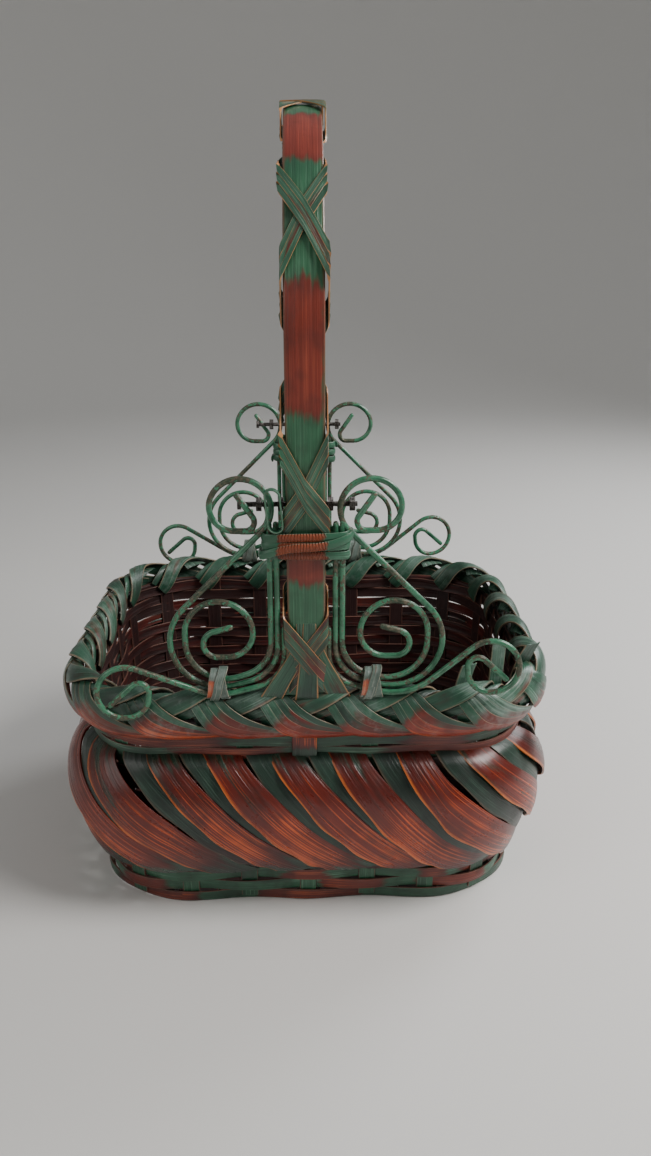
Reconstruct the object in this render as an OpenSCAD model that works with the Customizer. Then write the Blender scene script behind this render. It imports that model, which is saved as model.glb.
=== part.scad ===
// Painted split-bamboo basket with a fixed hoop handle and bent wire scrolls.
// Millimetres, +Z up, origin on the ground under the middle of the basket.
// X runs along the long side, and the handle stands in the plane x = 0.

/* [Basket wall] */
// Half length of the wall at the ground, measured to the middle of the stakes
base_half_x = 119.5; // [100:0.5:140]
// Half width of the wall at the ground, measured to the middle of the stakes
base_half_y = 95.5; // [85:0.5:120]
// Half length of the wall at its top
top_half_x = 123.5; // [100:0.5:150]
// Half width of the wall at its top
top_half_y = 101.5; // [85:0.5:125]
// Corner radius of the wall
corner_r = 48; // [30:1:60]
// Height of the wall under the rim
wall_h = 126; // [110:1:150]

/* [Splints] */
// Width of an upright stake
stake_w = 9.5; // [6:0.5:14]
// Thickness of the split bamboo in stakes
stake_t = 1.2; // [0.8:0.1:2]
// Number of stakes round the wall
stake_count = 24; // [20:4:24]
// Thickness of a weaver
weaver_t = 1.6; // [1:0.1:2.5]
// Height of a weaver row
weaver_h = 6.2; // [4:0.1:8]

/* [Swirl] */
// Width of a broad swirl splint
swirl_w = 21; // [14:1:24]
// How far the swirl bulges beyond the wall
swirl_bulge = 10.5; // [6:0.5:14]
// Distance that a swirl splint travels round the wall on its way down
swirl_run = 74; // [40:1:90]

/* [Handle] */
// Width of the handle strip
handle_w = 19; // [14:1:26]
// Thickness of the outer handle strip
handle_t = 4; // [3:0.5:6]
// Thickness of the inner handle strip
liner_t = 3; // [2:0.5:4]
// Distance from the middle of the basket to the middle of a handle leg
leg_y = 107.5; // [100:0.5:115]
// Height of the top of the handle
handle_top = 421; // [320:1:460]
// Distance along the handle between two crossings of the wraps
wrap_pitch = 102; // [60:1:140]
// Width of a wrap
wrap_w = 7.5; // [5:0.5:10]

/* [Wire scrolls] */
// Diameter of the scroll wire
wire_d = 3; // [2:0.2:4]
// Distance between two wires lying side by side
wire_gap = 3.3; // [3.1:0.1:4]
// Angle at which the outer scrolls lean away from the rim
outer_lean = 6; // [4:1:10]

/* [Hidden] */
$fn = 48;
clearance = 0.3;

// Layers through the wall, as distances outward from the middle of the stakes
lining_in = -2.2;
lining_out = -0.6;
row_in = 0.6;
row_out = row_in + weaver_t;

// Rim
rim_low = 115;
rim_top = 137.5;
rim_out = 11.5;
rim_in = -5;
hoop_t = 3.8;
hoop_h = 5;

// Floor
mat_z = 2 * stake_t;
mat_t = 1.6;

// Rows of weavers, as the heights of their lower edges
row_step = 7.2;
waist_low = 95;
base_rows = [for (i = [0 : 2]) i * row_step];
waist_rows = [for (i = [0 : 1]) waist_low + i * row_step];

// Handle, as distances from the middle of the basket
arch_r = leg_y + handle_t / 2;
arch_z = handle_top - arch_r;
tongue_t = 1.5;
tongue_bottom = 24;
bend_low = 129;
bend_high = 150;

// Scrolls: height of the wire tops, and of the bolts through the handle
wire_top = 227;
wire_sides = 8;
wire_step = 18;
outer_top = 172;
bolt_z = 236;
bolt_y = leg_y - handle_t / 2 - liner_t / 2;
band_z = 217;

// Ties, as places along X from the middle, and their outer sizes
tie_w = 9;
tie_t = 1.2;
tie_low = 129;
tie_high = 151.5;
tie_in = leg_y - 4;
tie_out = leg_y + 6.5;

// Four scrolls: side along X, side along Y, rise and reach of the outer scroll, place of its tie
front_left = [-1, -1, 24, 34, 45];
front_right = [1, -1, 42, 28, 33];
back_left = [-1, 1, 30, 32, 40];
back_right = [1, 1, 38, 29, 36];
scrolls = [front_left, front_right, back_left, back_right];

green = [0.18, 0.40, 0.28];
pale_green = [0.28, 0.47, 0.37];
red = [0.55, 0.20, 0.10];
dark = [0.20, 0.08, 0.07];
steel = [0.45, 0.45, 0.44];

// Half sizes of the wall, to the middle of the stakes, at a height
function half_x(z) = base_half_x + (top_half_x - base_half_x) * z / wall_h;
function half_y(z) = base_half_y + (top_half_y - base_half_y) * z / wall_h;

// Straight and curved lengths round a quarter of the wall
side_x = base_half_x + top_half_x - 2 * corner_r;
side_y = base_half_y + top_half_y - 2 * corner_r;
bend = PI * corner_r / 2;
lengths = [side_x, bend, side_y, bend, side_x, bend, side_y, bend];
round_length = 2 * (side_x + side_y) + 4 * bend;

// Stakes stand evenly round the wall, from the middle of the front. Those on the straight sides
// cross the floor, and the corners get short ones; each count is of the stakes beside a middle.
stake_step = round_length / stake_count;
cross_count = floor(side_x / 2 / stake_step);
long_count = floor(side_y / 2 / stake_step);
quarter_count = stake_count / 4;
corner_runs = [for (k = [0 : stake_count - 1])
    let (from_middle = min(k % (2 * quarter_count), 2 * quarter_count - k % (2 * quarter_count)))
    if (from_middle > cross_count && from_middle < quarter_count - long_count)
        side_x / 2 + k * stake_step];

function heading(a) = [cos(a), sin(a), 0];

// Centre of the corner where part k of the outline starts (sides are even, corners are odd)
function corner_centre(k, z) =
    let (right = k >= 1 && k <= 4, back = k >= 3 && k <= 6)
    [(right ? 1 : -1) * (half_x(z) - corner_r), (back ? 1 : -1) * (half_y(z) - corner_r), z];

// Point at a distance round the wall from the left end of the front, at an outward distance
function wall_point(run, out, z, k = 0) =
    run > lengths[k] && k < 7 ? wall_point(run - lengths[k], out, z, k + 1) :
    let (part = run / lengths[k], turn = 90 * floor(k / 2))
    k % 2 == 1
        ? corner_centre(k, z) + (corner_r + out) * heading(turn - 90 + 90 * part)
        : corner_centre(k, z) * (1 - part) + corner_centre(k + 1, z) * part
            + (corner_r + out) * heading(turn - 90);

function round_wall(run, out, z) =
    wall_point(run - floor(run / round_length) * round_length, out, z);

// Points of the wall's outline at a height, moved outward, with a fan of them on each corner
function outline_points(z, out) =
    [for (k = [1, 3, 5, 7], a = [0 : 10 : 90])
        corner_centre(k, z) + (corner_r + out) * heading(45 * (k - 3) + a)];

// Ring that leans with the wall, between two heights
module leaning_ring(low, high, inner, outer) {
    difference() {
        loft([outline_points(high, outer), outline_points(low, outer)]);
        loft([outline_points(high + 1, inner), outline_points(low - 1, inner)]);
    }
}

// Outline of the wall at a height, moved outward
module outline(z, out) {
    x = half_x(z) - corner_r;
    y = half_y(z) - corner_r;
    union() {
        square([2 * (x + corner_r + out), 2 * y], center = true);
        square([2 * x, 2 * (y + corner_r + out)], center = true);
        for (sx = [-1, 1], sy = [-1, 1])
            translate([sx * x, sy * y]) circle(r = corner_r + out);
    }
}

// Flat ring that follows the wall from height z up to z + h
module wall_ring(z, h, inner, outer) {
    translate([0, 0, z]) linear_extrude(h) difference() {
        outline(z + h / 2, outer);
        outline(z + h / 2, inner);
    }
}

// Closed solid through rings of points that all have the same number of points
module loft(rings) {
    n = len(rings[0]);
    m = len(rings);
    sides = [for (i = [0 : m - 2], j = [0 : n - 1])
        [i * n + j, i * n + (j + 1) % n, (i + 1) * n + (j + 1) % n, (i + 1) * n + j]];
    start = [[for (j = [n - 1 : -1 : 0]) j]];
    end = [[for (j = [0 : n - 1]) (m - 1) * n + j]];
    polyhedron([for (ring = rings, p = ring) p], concat(sides, start, end), convexity = 4);
}

/* ---- floor and wall ---- */

module floor_mat() {
    color(dark) translate([0, 0, mat_z]) linear_extrude(mat_t) outline(0, lining_in - clearance);
}

// Splint that crosses the floor and turns up both walls to a height
module bent_stake(layer, low_half, top_half, top) {
    t = stake_t / 2;
    z = layer * stake_t;
    outer = [[-top_half - t, top], [-low_half - t, z], [low_half + t, z], [top_half + t, top]];
    inner = [[top_half - t, top], [low_half - t, z + stake_t],
        [-low_half + t, z + stake_t], [-top_half + t, top]];
    rotate([90, 0, 0]) translate([0, 0, -stake_w / 2]) linear_extrude(stake_w)
        polygon(concat(outer, inner));
}

// The middle one stops under the tongues of the handle
module cross_stakes() {
    color(green) for (i = [-cross_count : cross_count])
        let (top = i == 0 ? tongue_bottom - 2 : wall_h)
        translate([i * stake_step, 0, 0]) rotate([0, 0, 90])
            bent_stake(0, half_y(0), half_y(top), top);
}

module long_stakes() {
    color(green) for (i = [-long_count : long_count])
        translate([0, i * stake_step, 0]) bent_stake(1, half_x(0), half_x(wall_h), wall_h);
}

// Short splints pushed in at the corners, standing beside the floor
module corner_stakes() {
    t = stake_t / 2;
    w = stake_w / 2;
    color(green) for (run = corner_runs)
        loft([for (z = [mat_z, wall_h])
            [round_wall(run - w, -t, z), round_wall(run + w, -t, z),
                round_wall(run + w, t, z), round_wall(run - w, t, z)]]);
}

module wall_lining() {
    color(dark) leaning_ring(mat_z, wall_h, lining_in, lining_out - clearance);
}

module weaver(z) {
    wall_ring(z, weaver_h, row_in + clearance, row_out);
}

module base_weaver(row) {
    color(green) weaver(base_rows[row]);
}

module waist_weaver(row) {
    color(red) weaver(waist_rows[row]);
}

/* ---- swirl ---- */

// Middle line of a swirl splint, from part 0 at its top to part 1 at its foot
swirl_start = -5.6;
swirl_high = 93;
swirl_low = 28;
swirl_edge = 6;
swirl_turn = 64;
swirl_parts = 9;
swirl_tilt = -0.13;
foot_tilt = -0.11;
under_w = 12;
under_depth = 4.2;
swirl_fall = (swirl_high - swirl_low) / sin(swirl_turn);
belly_high = 104;
belly_low = 20;

function swirl_z(part) = swirl_high - swirl_fall * sin(swirl_turn * part);
function swirl_slope(part) =
    atan2(swirl_fall * cos(swirl_turn * part) * swirl_turn * PI / 180, swirl_run);

// How far the belly of the swirl stands out from the wall at a height
function belly(z) =
    swirl_edge + swirl_bulge * sin(180 * pow((belly_high - z) / (belly_high - belly_low), 0.75));

// Point at part of a splint's length, at a distance across it and at an extra outward distance
function swirl_point(start, part, across, out) =
    let (a = swirl_slope(part), z = swirl_z(part) + across * cos(a))
    round_wall(start + swirl_run * part + across * sin(a),
        belly(z) + (swirl_tilt + foot_tilt * part) * across + out, z);

module swirl_splint(start, width, depth) {
    t = stake_t / 2;
    loft([for (i = [0 : swirl_parts]) let (part = i / swirl_parts)
        [for (corner = [[-1, t], [0, t], [1, t], [1, -t], [0, -t], [-1, -t]])
            swirl_point(start, part, corner[0] * width / 2, corner[1] + depth)]]);
}

// The splints of one side: quarter 0 is the front, and the rest follow towards +X
module swirl_side(quarter) {
    color(red) for (i = [0 : quarter_count - 1])
        swirl_splint(swirl_start + (quarter * quarter_count + i) * stake_step, swirl_w, 0);
}

module under_splints() {
    color(green) for (i = [0 : stake_count - 1])
        swirl_splint(swirl_start + (i + 0.5) * stake_step, under_w, -under_depth);
}

/* ---- rim ---- */

module rim_hoop() {
    color(dark) wall_ring(wall_h - hoop_h - 0.5, hoop_h, row_in + clearance, row_in + hoop_t);
}

// Band of folded splints over the top of the wall, with room for handle and ties
module rim_braid() {
    skirt_in = lining_in - 3 * clearance;
    skirt_out = row_in + hoop_t + 3 * clearance;
    slot_in = half_y(wall_h) + lining_in;
    slot_out = leg_y + handle_t / 2 + clearance;
    color(pale_green) difference() {
        wall_ring(rim_low, rim_top - rim_low, rim_in, rim_out);
        wall_ring(rim_low - 1, wall_h + clearance - rim_low + 1, skirt_in, skirt_out);
        for (side = [-1, 1]) translate([0, side * (slot_in + slot_out) / 2, rim_top])
            cube([handle_w + 2, slot_out - slot_in, 60], center = true);
        for (s = scrolls) tie_place(s) tie_block(clearance);
    }
}

/* ---- handle ---- */

// Side outline of a bent strip: an arch on two legs that lean in at the wall.
// far and near are the outer and inner distances of the legs from the middle.
module arch_outline(far, near) {
    difference() {
        union() {
            translate([0, arch_z]) circle(r = far, $fn = 96);
            translate([-far, bend_high]) square([2 * far, arch_z - bend_high]);
        }
        translate([0, arch_z]) circle(r = near, $fn = 96);
        translate([-near, 0]) square([2 * near, arch_z]);
        translate([-far, -far]) square([2 * far, far + bend_high]);
    }
}

module upright(width) {
    rotate([90, 0, 90]) translate([0, 0, -width / 2]) linear_extrude(width) children();
}

// Outer strip, thinned below the rim to a tongue that is woven in as a stake
module handle_strip() {
    far = leg_y + handle_t / 2;
    near = leg_y - handle_t / 2;
    tongue_in = -stake_t / 2;
    color(red) upright(handle_w) union() {
        arch_outline(far, near);
        for (side = [-1, 1]) polygon([
            [side * far, bend_high], [side * near, bend_high],
            [side * (half_y(bend_low) + tongue_in), bend_low],
            [side * (half_y(tongue_bottom) + tongue_in), tongue_bottom],
            [side * (half_y(tongue_bottom) + tongue_in + tongue_t), tongue_bottom],
            [side * (half_y(bend_low) + tongue_in + tongue_t), bend_low]]);
    }
}

module handle_liner() {
    far = leg_y - handle_t / 2;
    color(green) difference() {
        upright(handle_w - 3) arch_outline(far, far - liner_t);
        for (side = [-1, 1]) translate([-handle_w, side * bolt_y, bolt_z])
            rotate([0, 90, 0]) cylinder(d = bolt_d, h = 2 * handle_w);
    }
}

// Middle line of the handle: place and outward direction at a distance up from the front bend
function arch_turn(s) = (s - (arch_z - bend_high)) / (leg_y * PI / 180);
function handle_frame(s) =
    let (a = arch_turn(s), middle = leg_y - liner_t / 2)
    a < 0 ? [[0, -middle, bend_high + s], [0, -1, 0]] :
    a > 180 ? [[0, middle, arch_z - (a - 180) * leg_y * PI / 180], [0, 1, 0]] :
    [[0, -middle * cos(a), arch_z + middle * sin(a)], [0, -cos(a), sin(a)]];

function rounded(v) = sign(v) * pow(abs(v), 0.6);

// Point on a wrap at an angle round the strip, moved along the handle and outward
function wrap_point(s, angle, along, out) =
    let (f = handle_frame(s + along))
    f[0] + [(handle_w / 2 + 0.6 + out) * rounded(cos(angle)), 0, 0]
        + f[1] * ((handle_t + liner_t) / 2 + 0.6 + out) * rounded(sin(angle));

module handle_wrap(turn_side, out) {
    length = 2 * (arch_z - bend_high) + PI * leg_y;
    margin = 8;
    first_crossing = 14;
    steps = floor((length - 2 * margin) / wrap_pitch * 16);
    thick = 0.8;
    color(green) loft([for (i = [0 : steps])
        let (s = margin + (length - 2 * margin) * i / steps,
            angle = 90 + turn_side * 360 * (s - first_crossing) / wrap_pitch)
        [for (c = [[-1, 0], [1, 0], [1, thick], [-1, thick]])
            wrap_point(s, angle, turn_side * c[0] * wrap_w / 2, out + c[1])]]);
}

/* ---- wire scrolls ---- */

// Bent wire, drawn in the XZ plane from a start. Each move is ["go", length],
// ["left", radius, angle] or ["right", radius, angle], and the next one follows its end.
// Stations along it are [x, z, heading].
function wire_stations(at, moves, i = 0) =
    i == len(moves) ? [] :
    let (added = moves[i][0] == "go" ? [gone(at, moves[i][1])] : bent(at, moves[i]))
    concat(added, wire_stations(added[len(added) - 1], moves, i + 1));

function gone(at, length) =
    [at[0] + length * cos(at[2]), at[1] + length * sin(at[2]), at[2]];

function bent(at, move) =
    let (side = move[0] == "left" ? 1 : -1, steps = ceil(move[2] / wire_step), r = side * move[1],
        middle = [at[0] - r * sin(at[2]), at[1] + r * cos(at[2])])
    [for (k = [1 : steps]) let (a = at[2] + side * move[2] * k / steps)
        [middle[0] + r * sin(a), middle[1] - r * cos(a), a]];

module bent_wire(start, moves) {
    down = -90;
    first = [start[0], start[1], down];
    color(green) loft([for (at = concat([first], wire_stations(first, moves)))
        [for (k = [0 : wire_sides - 1]) let (b = 360 * k / wire_sides)
            [at[0], 0, at[1]] + wire_d / 2 * [-cos(b) * sin(at[2]), sin(b), cos(b) * cos(at[2])]]]);
}

// Puts a wire, drawn on the right of the front, at the place of a scroll
module at_scroll(scroll) {
    mirror([scroll[0] < 0 ? 1 : 0, 0, 0]) mirror([0, scroll[1] > 0 ? 1 : 0, 0])
        translate([0, -leg_y, 0]) children();
}

wire_x = handle_w / 2 + 1.7;

// Large S: from the handle down to the tie, out and back up to a curl at the handle
module main_scroll(scroll) {
    at_scroll(scroll) bent_wire([wire_x + wire_gap, wire_top],
        [["go", 64], ["left", 20, 75], ["go", 8], ["left", 25, 150], ["go", 57],
        ["right", 15, 200], ["right", 12, 115], ["go", 5], ["right", 4.5, 125], ["go", 13]]);
}

// Spiral inside the large S
module inner_scroll(scroll) {
    at_scroll(scroll) bent_wire([wire_x + 2 * wire_gap, wire_top],
        [["go", 61.5], ["left", 19, 72], ["go", 4], ["left", 20, 108], ["go", 5],
        ["left", 17, 180], ["left", 13, 90], ["go", 5], ["left", 7, 165], ["go", 9]]);
}

// Small curl beyond the large S, leaning out over the rim
module outer_scroll(scroll) {
    rise = scroll[2];
    reach = scroll[3];
    at_scroll(scroll) translate([wire_x, 0, 0]) rotate([0, 0, -outer_lean])
        bent_wire([0, outer_top],
            [["go", 14], ["left", 17, 78], ["go", 12], ["left", 30, 12 + rise], ["go", reach],
            ["right", 14, 180 + rise], ["right", 11.5, 85], ["go", 3], ["right", 5, 137], ["go", 15]]);
}

/* ---- ties, bands and bolts ---- */

module tie_place(scroll) {
    mirror([scroll[0] < 0 ? 1 : 0, 0, 0]) mirror([0, scroll[1] > 0 ? 1 : 0, 0])
        translate([scroll[4] - tie_w / 2, 0, 0]) children();
}

// Ring of cane, seen from the side: a closed loop with a square hole
module tie_block(grow) {
    width = tie_out - tie_in;
    height = tie_high - tie_low;
    translate([-grow, -tie_out, tie_low]) difference() {
        translate([0, -grow, -grow]) cube([tie_w + 2 * grow, width + 2 * grow, height + 2 * grow]);
        translate([-1, tie_t + grow, tie_t + grow])
            cube([tie_w + 2 * grow + 2, width - 2 * (tie_t + grow), height - 2 * (tie_t + grow)]);
    }
}

module tie(scroll) {
    color(pale_green) tie_place(scroll) tie_block(0);
}

// Three turns of cane round the handle leg and the four long wires beside it
module band(side) {
    turns = 3;
    turn_h = 4.4;
    turn_gap = 0.1;
    inner_x = wire_x + 2 * wire_gap + wire_d / 2 + clearance;
    inner_y = (handle_t + liner_t) / 2 + 1.8;
    cane = 1.8;
    low = band_z - (turns * turn_h + (turns - 1) * turn_gap) / 2;
    color(pale_green) for (i = [0 : turns - 1])
        translate([0, side * (leg_y - liner_t / 2), low + i * (turn_h + turn_gap)])
            linear_extrude(turn_h) difference() {
                band_outline(inner_x + cane, inner_y + cane);
                band_outline(inner_x, inner_y);
            }
}

module band_outline(x, y) {
    square([2 * (x - y), 2 * y], center = true);
    for (sx = [-1, 1]) translate([sx * (x - y), 0]) circle(r = y);
}

// Loose end of the band, turned up in a loop beside the handle
module band_loop() {
    loop_r = 4;
    loop_h = 14;
    wide = 4;
    color(green) translate([-(handle_w / 2 + loop_r + 1), -leg_y - handle_t / 2 - 0.4, band_z + loop_r + 6.8])
        rotate([90, 0, 0]) linear_extrude(wide) difference() {
            loop_outline(loop_r, loop_h);
            loop_outline(loop_r - 0.9, loop_h);
        }
}

module loop_outline(r, h) {
    circle(r = r);
    translate([-r, 0]) square([2 * r, h]);
    translate([0, h]) circle(r = r);
}

bolt_d = 2.5;
bolt_left = -31;
bolt_right = 25;
nut_af = 6;
nut_t = 2.6;

module bolt(side) {
    color(steel) translate([bolt_left, side * bolt_y, bolt_z]) rotate([0, 90, 0]) union() {
        cylinder(d = bolt_d, h = bolt_right - bolt_left);
        translate([0, 0, -1.8]) cylinder(d = 5, h = 1.8);
    }
}

// Two nuts on each side, one inside and one outside each curl
module nuts(side) {
    places = [handle_w / 2 + 1.2, wire_x + 2 * wire_gap + wire_d + 0.4];
    color(steel) for (x = places, way = [-1, 1])
        translate([way * (x + nut_t / 2), side * bolt_y, bolt_z]) rotate([0, 90, 0]) difference() {
            cylinder(d = nut_af / cos(30), h = nut_t, center = true, $fn = 6);
            cylinder(d = bolt_d, h = nut_t + 1, center = true);
        }
}

floor_mat();
cross_stakes();
long_stakes();
corner_stakes();
wall_lining();
base_weaver(0);  // base_weaver_lower
base_weaver(1);  // base_weaver_middle
base_weaver(2);  // base_weaver_upper
waist_weaver(0);  // waist_weaver_lower
waist_weaver(1);  // waist_weaver_upper
under_splints();
swirl_side(0);  // front_swirl_splints
swirl_side(1);  // right_swirl_splints
swirl_side(2);  // back_swirl_splints
swirl_side(3);  // left_swirl_splints
rim_hoop();
rim_braid();
handle_strip();
handle_liner();
handle_wrap(-1, 0);  // handle_wrap_left
handle_wrap(1, 1);  // handle_wrap_right
main_scroll(front_left);  // front_left_main_scroll
inner_scroll(front_left);  // front_left_inner_scroll
outer_scroll(front_left);  // front_left_outer_scroll
main_scroll(front_right);  // front_right_main_scroll
inner_scroll(front_right);  // front_right_inner_scroll
outer_scroll(front_right);  // front_right_outer_scroll
main_scroll(back_left);  // back_left_main_scroll
inner_scroll(back_left);  // back_left_inner_scroll
outer_scroll(back_left);  // back_left_outer_scroll
main_scroll(back_right);  // back_right_main_scroll
inner_scroll(back_right);  // back_right_inner_scroll
outer_scroll(back_right);  // back_right_outer_scroll
tie(front_left);  // front_left_tie
tie(front_right);  // front_right_tie
tie(back_left);  // back_left_tie
tie(back_right);  // back_right_tie
band(-1);  // front_band
band(1);  // back_band
band_loop();
bolt(-1);  // front_bolt
bolt(1);  // back_bolt
nuts(-1);  // front_nuts
nuts(1);  // back_nuts
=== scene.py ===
"""Painted split-bamboo basket with a hoop handle and wire scrolls, in the order that it is made."""
import math
import random

import bmesh
import bpy
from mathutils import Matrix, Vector


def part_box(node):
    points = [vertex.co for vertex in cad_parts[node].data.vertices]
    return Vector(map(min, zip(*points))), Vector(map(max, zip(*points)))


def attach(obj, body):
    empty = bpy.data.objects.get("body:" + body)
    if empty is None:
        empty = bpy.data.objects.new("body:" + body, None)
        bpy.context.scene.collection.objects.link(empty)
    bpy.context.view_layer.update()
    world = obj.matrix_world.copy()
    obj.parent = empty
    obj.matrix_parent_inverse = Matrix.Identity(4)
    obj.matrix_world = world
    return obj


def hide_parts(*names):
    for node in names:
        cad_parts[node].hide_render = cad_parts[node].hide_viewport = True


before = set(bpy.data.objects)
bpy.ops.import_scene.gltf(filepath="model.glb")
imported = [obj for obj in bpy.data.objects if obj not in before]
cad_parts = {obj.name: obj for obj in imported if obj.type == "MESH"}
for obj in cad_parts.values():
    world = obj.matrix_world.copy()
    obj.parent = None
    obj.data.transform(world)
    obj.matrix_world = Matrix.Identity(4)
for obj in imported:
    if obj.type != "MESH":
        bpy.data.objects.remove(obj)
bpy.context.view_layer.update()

mm = 0.001


# ---------------------------------------------------------------- studio
# A pale floor that sweeps up round the basket, soft light from the upper right and a
# weaker one from the left, and a camera above the rim in front of the handle.

def soft_light(name, place, target, size, watts, colour):
    lamp = bpy.data.lights.new(name, "AREA")
    lamp.shape = "DISK"
    lamp.size = size
    lamp.energy = watts
    lamp.color = colour
    holder = bpy.data.objects.new(name, lamp)
    holder.location = place
    holder.rotation_euler = (Vector(target) - Vector(place)).to_track_quat("-Z", "Y").to_euler()
    bpy.context.scene.collection.objects.link(holder)


def studio_floor():
    bm = bmesh.new()
    bmesh.ops.create_grid(bm, x_segments=90, y_segments=90, size=5)
    flat, radius = 1.6, 1.2
    upright = math.pi / 2
    for vert in bm.verts:
        away = math.hypot(vert.co.x, vert.co.y)
        turn = (away - flat) / radius
        if turn > 0:
            swept = min(turn, upright)
            vert.co.xy *= (flat + radius * math.sin(swept)) / away
            vert.co.z = radius * (1 - math.cos(swept)) + radius * max(turn - upright, 0)
    for face in bm.faces:
        face.smooth = True
    mesh = bpy.data.meshes.new("studio_floor")
    bm.to_mesh(mesh)
    bm.free()
    floor = bpy.data.objects.new("studio_floor", mesh)
    bpy.context.scene.collection.objects.link(floor)
    paper = bpy.data.materials.new("floor_paper")
    paper.use_nodes = True
    shader = paper.node_tree.nodes["Principled BSDF"]
    shader.inputs["Base Color"].default_value = (0.66, 0.65, 0.63, 1)
    shader.inputs["Roughness"].default_value = 0.8
    mesh.materials.append(paper)


def camera():
    lens = bpy.data.cameras.new("camera")
    lens.sensor_width = 36
    lens.lens = 29.33
    look_down, turn_right = 19.77, 1.42
    view = bpy.data.objects.new("camera", lens)
    view.location = (-0.0013, -0.5428, 0.3558)
    view.rotation_euler = (math.radians(90 - look_down), 0, -math.radians(turn_right))
    bpy.context.scene.collection.objects.link(view)
    bpy.context.scene.camera = view


studio_floor()
camera()
middle = (0, 0, 0.12)
soft_light("window", (0.8, -0.3, 1.0), middle, 0.6, 17, (1.0, 0.98, 0.96))
soft_light("window_behind", (0.9, 0.7, 0.8), middle, 0.6, 8, (0.97, 0.98, 1.0))
soft_light("fill", (-1.1, -0.9, 0.9), middle, 1.1, 6, (1.0, 0.97, 0.93))
air = bpy.data.worlds.new("air")
air.use_nodes = True
air.node_tree.nodes["Background"].inputs["Color"].default_value = (0.86, 0.9, 0.93, 1)
air.node_tree.nodes["Background"].inputs["Strength"].default_value = 0.3
bpy.context.scene.world = air


# ---------------------------------------------------------------- floor
# The inside bottom is a plain weave of dark stained splints, cut to the rounded
# outline of the wall and held down by the turned-up stakes under it.

mat_low, mat_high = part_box("floor_mat")
lining_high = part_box("wall_lining")[1]
corner_r = 48 * mm
wall_h = lining_high.z
splint_t = 1.2 * mm
mat_gap = 2.5 * mm
lining_gap = 0.9 * mm
base_half_x = mat_high.x + mat_gap
base_half_y = mat_high.y + mat_gap
top_half_x = lining_high.x + lining_gap
top_half_y = lining_high.y + lining_gap
side_x = base_half_x + top_half_x - 2 * corner_r
side_y = base_half_y + top_half_y - 2 * corner_r
bend = math.pi * corner_r / 2
side_lengths = [side_x, bend, side_y, bend] * 2
round_length = sum(side_lengths)
stake_count = 24
stake_step = round_length / stake_count
luck = random.Random(11)


def half_x(z):
    """Half the length of the wall, through the middle of its stakes, at a height."""
    return base_half_x + (top_half_x - base_half_x) * z / wall_h


def half_y(z):
    return base_half_y + (top_half_y - base_half_y) * z / wall_h


def corner_centre(side, z):
    """Centre of the corner that begins or ends a side. Sides count on from the front, 0."""
    right = 1 <= side % 8 <= 4
    back = 3 <= side % 8 <= 6
    return Vector(((1 if right else -1) * (half_x(z) - corner_r),
                   (1 if back else -1) * (half_y(z) - corner_r), z))


def wall_point(run, out, z):
    """Place at a distance round the wall from the left end of the front, moved outward."""
    run %= round_length
    side = 0
    while side < 7 and run > side_lengths[side]:
        run -= side_lengths[side]
        side += 1
    part = run / side_lengths[side]
    turn = 90 * (side // 2) - 90
    if side % 2:
        centre = corner_centre(side, z)
        turn += 90 * part
    else:
        centre = corner_centre(side, z).lerp(corner_centre(side + 1, z), part)
    turn = math.radians(turn)
    return centre + (corner_r + out) * Vector((math.cos(turn), math.sin(turn), 0))


def smooth(low, high, value):
    """0 below low, 1 above high, and a soft step between them."""
    part = min(max((value - low) / (high - low), 0), 1)
    return part * part * (3 - 2 * part)


def follow(points, part):
    """Place at part of the way along a smooth curve through evenly spaced points."""
    last = len(points) - 1
    first = min(int(part * last), last - 1)
    t = part * last - first
    before, a, b, after = (points[min(max(first + k, 0), last)] for k in (-1, 0, 1, 2))
    return 0.5 * ((2 * a) + (b - before) * t + (2 * before - 5 * a + 4 * b - after) * t * t
                  + (3 * a - before - 3 * b + after) * t ** 3)


def new_splints():
    """A mesh for splints. Every point knows its stain, its splint's tone and its side."""
    bm = bmesh.new()
    bm.loops.layers.uv.new("splint")
    for layer in ("stain", "tone", "edge"):
        bm.verts.layers.float.new(layer)
    return bm


def lay_splint(bm, place, along, across, half_width, stain):
    """Adds a strip: place and stain take part 0 to 1 along it and side -1 to 1 across it.
    A stain that is the same all over the strip is a number."""
    tone = luck.random()
    grid = bmesh.ops.create_grid(bm, x_segments=along, y_segments=across, size=1)["verts"]
    layers = bm.verts.layers.float
    lengths = [0]
    for i in range(along):
        lengths.append(lengths[-1] + (place((i + 1) / along, 0) - place(i / along, 0)).length)
    spots = {}
    for vert in grid:
        part = (vert.co.x + 1) / 2
        side = vert.co.y
        spots[vert] = (lengths[round(part * along)], side * half_width)
        vert.co = place(part, side)
        vert[layers["stain"]] = stain(part, side) if callable(stain) else stain
        vert[layers["tone"]] = tone
        vert[layers["edge"]] = side
    uv = bm.loops.layers.uv["splint"]
    for face in {face for vert in grid for face in vert.link_faces}:
        face.smooth = True
        for loop in face.loops:
            loop[uv].uv = spots[loop.vert]


def add_piece(bm, name, material, nodes):
    """Makes a piece of the basket from a mesh, in place of CAD nodes."""
    mesh = bpy.data.meshes.new(name)
    bm.to_mesh(mesh)
    bm.free()
    mesh.materials.append(material)
    piece = bpy.data.objects.new(name, mesh)
    bpy.context.scene.collection.objects.link(piece)
    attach(piece, "root")
    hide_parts(*nodes)
    return piece


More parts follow.
